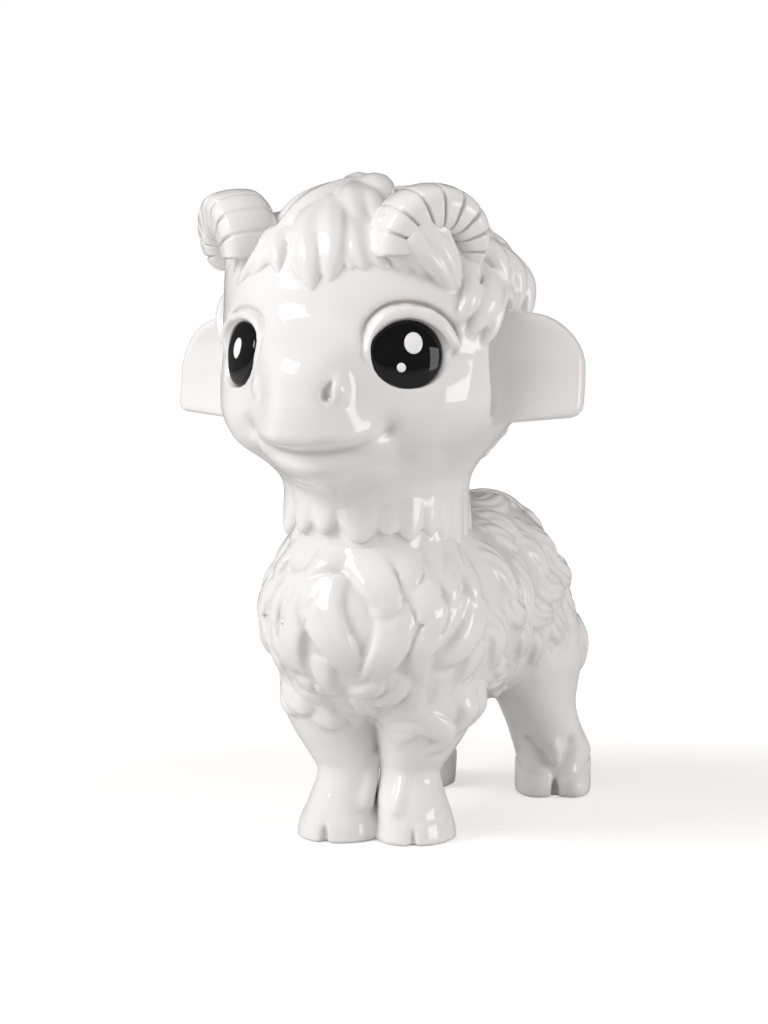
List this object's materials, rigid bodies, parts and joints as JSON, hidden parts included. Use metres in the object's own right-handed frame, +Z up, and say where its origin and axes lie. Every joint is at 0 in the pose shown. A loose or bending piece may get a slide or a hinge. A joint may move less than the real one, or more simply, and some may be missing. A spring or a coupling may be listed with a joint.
{
  "type": "goat figurine",
  "caption": "Standing goat kid ornament in white glazed porcelain, with large painted eyes, ribbed curled horns, paddle ears and a woolly coat.",
  "frame": {"origin": "on the surface that the goat stands on, under the middle of its bounding box", "axes": "+Z up, the goat faces -Y and its left side is +X"},
  "size_m": [0.1082, 0.1304, 0.1568],
  "materials": {
    "porcelain": "white porcelain under a clear, very glossy glaze",
    "black_enamel": "glossy black fired enamel",
    "white_enamel": "glossy white fired enamel"
  },
  "bodies": {
    "root": {"torso_shell": "porcelain", "head_shell": "porcelain", "neck_ruff": "porcelain", "forelock": "porcelain", "left_horn": "porcelain", "right_horn": "porcelain", "left_ear": "porcelain", "right_ear": "porcelain", "front_left_leg": "porcelain", "front_right_leg": "porcelain", "rear_left_leg": "porcelain", "rear_right_leg": "porcelain", "tail": "porcelain", "left_eye": "black_enamel", "right_eye": "black_enamel", "left_eye_highlight": "white_enamel", "right_eye_highlight": "white_enamel", "left_eye_glint": "white_enamel"}
  },
  "joints": []
}
